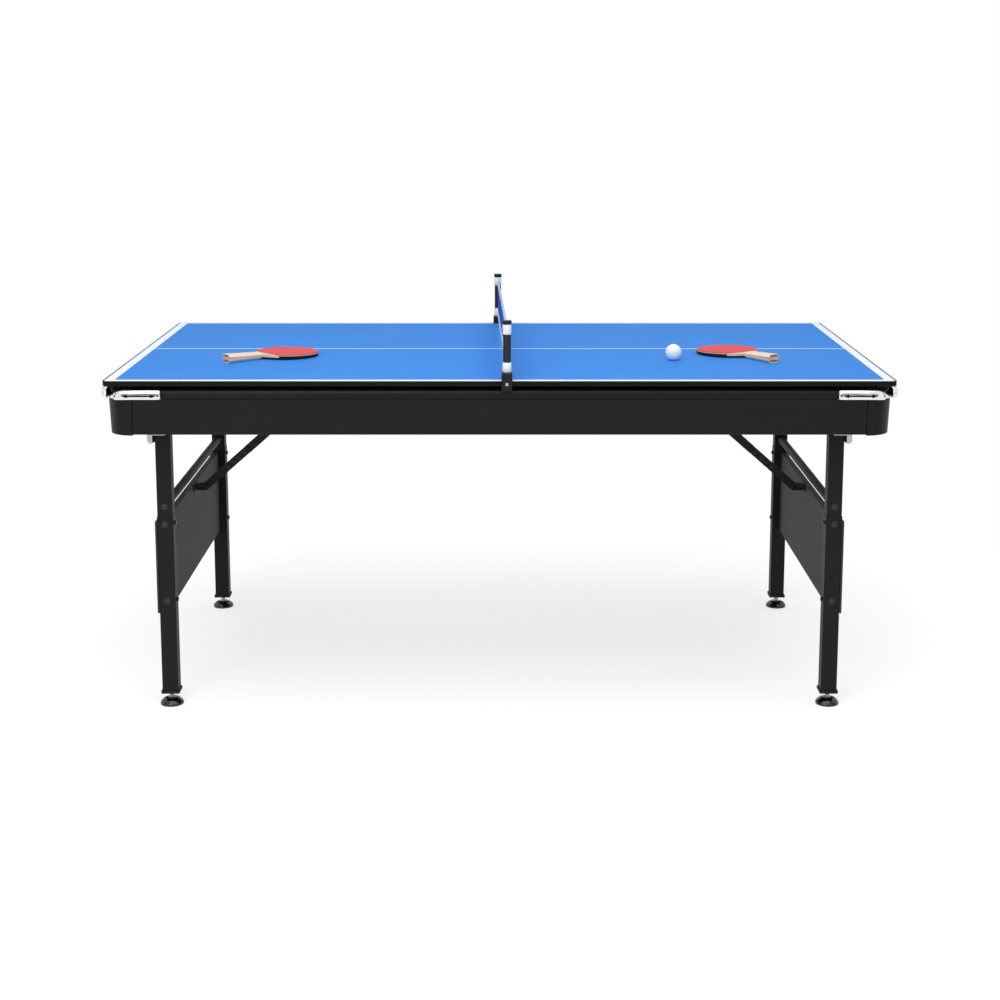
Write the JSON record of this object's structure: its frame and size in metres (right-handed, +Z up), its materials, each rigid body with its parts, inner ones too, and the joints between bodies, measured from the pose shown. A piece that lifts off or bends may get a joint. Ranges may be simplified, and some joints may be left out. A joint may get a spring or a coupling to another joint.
{
  "type": "ping pong table",
  "caption": "Folding games table with a lift-off blue table-tennis top, clip-on net, square fold-up legs with braced end panels, and loose bats and ball.",
  "frame": {"origin": "on the floor under the middle of the table, between the levelling feet", "axes": "+X along the table's length to the right of the side with the ball, +Y across it to the far side, +Z up"},
  "size_m": [1.849, 1.0216, 0.95],
  "materials": {
    "playing_surface": "satin blue paint with white lines on fibreboard",
    "edge_band": "satin black",
    "foam": "matt",
    "rail": "satin black laminate on fibreboard",
    "apron": "satin black laminate on fibreboard",
    "corner_plastic": "satin black",
    "chrome": "polished",
    "board": "raw fibreboard",
    "zinc": "zinc plated",
    "stop_rubber": "matt",
    "leg_paint": "satin black powder coat",
    "panel_paint": "satin charcoal powder coat",
    "brace_paint": "satin black powder coat",
    "cap_plastic": "satin black",
    "foot_gloss": "glossy black disc on a bright steel stem",
    "post_plastic": "black with white bands",
    "clamp_plastic": "satin black",
    "screw_steel": "bright",
    "net_fabric": "open mesh with white tape above and below",
    "blade_wood": "clear varnish",
    "handle_wood": "clear varnish",
    "red_rubber": "satin",
    "black_rubber": "satin",
    "ball_plastic": "satin white"
  },
  "bodies": {
    "cabinet": {"bed_board": "board", "bed_bearers": "board", "corner_blocks": "board", "rail_front": "rail", "rail_rear": "rail", "rail_left": "rail", "rail_right": "rail", "apron_front": "apron", "apron_rear": "apron", "apron_left": "apron", "apron_right": "apron", "corner_mouldings": "corner_plastic", "corner_castings": "chrome", "hinge_brackets": "zinc", "stop_buffers": "stop_rubber", "brace_hangers": "zinc"},
    "playing_top": {"top_board": "playing_surface", "top_edge_band": "edge_band", "support_pads": "foam"},
    "net_set": {"net_post_front": "post_plastic", "net_post_rear": "post_plastic", "net_clamp_front": "clamp_plastic", "net_clamp_rear": "clamp_plastic", "net_post_caps": "clamp_plastic", "net_screws": "screw_steel", "net": "net_fabric"},
    "bat_left": {"bat_left_blade": "blade_wood", "bat_left_handle": "handle_wood", "bat_left_red_rubber": "red_rubber", "bat_left_black_rubber": "black_rubber"},
    "bat_right": {"bat_right_blade": "blade_wood", "bat_right_handle": "handle_wood", "bat_right_red_rubber": "red_rubber", "bat_right_black_rubber": "black_rubber"},
    "ball": {"ball": "ball_plastic"},
    "leg_frame_left": {"upper_legs_left": "leg_paint", "lower_legs_left": "leg_paint", "cross_tube_left": "leg_paint", "brace_lug_left": "brace_paint", "end_panel_left": "panel_paint", "panel_angles_left": "leg_paint", "leg_caps_left": "cap_plastic"},
    "leg_frame_right": {"upper_legs_right": "leg_paint", "lower_legs_right": "leg_paint", "cross_tube_right": "leg_paint", "brace_lug_right": "brace_paint", "end_panel_right": "panel_paint", "panel_angles_right": "leg_paint", "leg_caps_right": "cap_plastic"},
    "brace_lower_left": {"brace_lower_link_left": "brace_paint"},
    "brace_lower_right": {"brace_lower_link_right": "brace_paint"},
    "brace_upper_left": {"brace_upper_link_left": "brace_paint"},
    "brace_upper_right": {"brace_upper_link_right": "brace_paint"},
    "levelling_foot_front_left": {"levelling_foot_front_left": "foot_gloss"},
    "levelling_foot_rear_left": {"levelling_foot_rear_left": "foot_gloss"},
    "levelling_foot_front_right": {"levelling_foot_front_right": "foot_gloss"},
    "levelling_foot_rear_right": {"levelling_foot_rear_right": "foot_gloss"}
  },
  "joints": [
    {"name": "leg_fold_right", "type": "hinge", "parent": "cabinet", "child": "leg_frame_right", "pos_m": [0.8, 0, 0.684], "axis": [0, 1, 0], "range_deg": [0, 90]},
    {"name": "leg_fold_left", "type": "hinge", "parent": "cabinet", "child": "leg_frame_left", "pos_m": [-0.8, 0, 0.684], "axis": [0, -1, 0], "range_deg": [0, 90]},
    {"name": "brace_lower_turn_right", "type": "hinge", "parent": "leg_frame_right", "child": "brace_lower_right", "pos_m": [0.768, 0, 0.446], "axis": [0, 1, 0], "range_deg": [0, 48.8]},
    {"name": "brace_upper_turn_right", "type": "hinge", "parent": "cabinet", "child": "brace_upper_right", "pos_m": [0.462, 0, 0.716], "axis": [0, 1, 0], "range_deg": [-41.7, 0]},
    {"name": "foot_height_front_right", "type": "slide", "parent": "leg_frame_right", "child": "levelling_foot_front_right", "axis": [0, 0, -1], "range_m": [0, 0.012]},
    {"name": "foot_height_rear_right", "type": "slide", "parent": "leg_frame_right", "child": "levelling_foot_rear_right", "axis": [0, 0, -1], "range_m": [0, 0.012]},
    {"name": "brace_lower_turn_left", "type": "hinge", "parent": "leg_frame_left", "child": "brace_lower_left", "pos_m": [-0.768, 0, 0.446], "axis": [0, -1, 0], "range_deg": [0, 48.8]},
    {"name": "brace_upper_turn_left", "type": "hinge", "parent": "cabinet", "child": "brace_upper_left", "pos_m": [-0.462, 0, 0.716], "axis": [0, -1, 0], "range_deg": [-41.7, 0]},
    {"name": "foot_height_front_left", "type": "slide", "parent": "leg_frame_left", "child": "levelling_foot_front_left", "axis": [0, 0, -1], "range_m": [0, 0.012]},
    {"name": "foot_height_rear_left", "type": "slide", "parent": "leg_frame_left", "child": "levelling_foot_rear_left", "axis": [0, 0, -1], "range_m": [0, 0.012]},
    {"name": "top_lift", "type": "slide", "parent": "cabinet", "child": "playing_top", "axis": [0, 0, 1], "range_m": [0, 0.1]},
    {"name": "net_slide", "type": "slide", "parent": "playing_top", "child": "net_set", "axis": [1, 0, 0], "range_m": [-0.05, 0.05]},
    {"name": "bat_lift_left", "type": "slide", "parent": "playing_top", "child": "bat_left", "axis": [0, 0, 1], "range_m": [0, 0.2]},
    {"name": "bat_lift_right", "type": "slide", "parent": "playing_top", "child": "bat_right", "axis": [0, 0, 1], "range_m": [0, 0.2]},
    {"name": "ball_lift", "type": "slide", "parent": "playing_top", "child": "ball", "axis": [0, 0, 1], "range_m": [0, 0.2]}
  ],
  "couplings": [
    {"joint": "brace_lower_turn_right", "follows": "leg_fold_right", "ratio": 0.53974},
    {"joint": "brace_upper_turn_right", "follows": "leg_fold_right", "ratio": -0.46026},
    {"joint": "brace_lower_turn_left", "follows": "leg_fold_left", "ratio": 0.53974},
    {"joint": "brace_upper_turn_left", "follows": "leg_fold_left", "ratio": -0.46026}
  ]
}
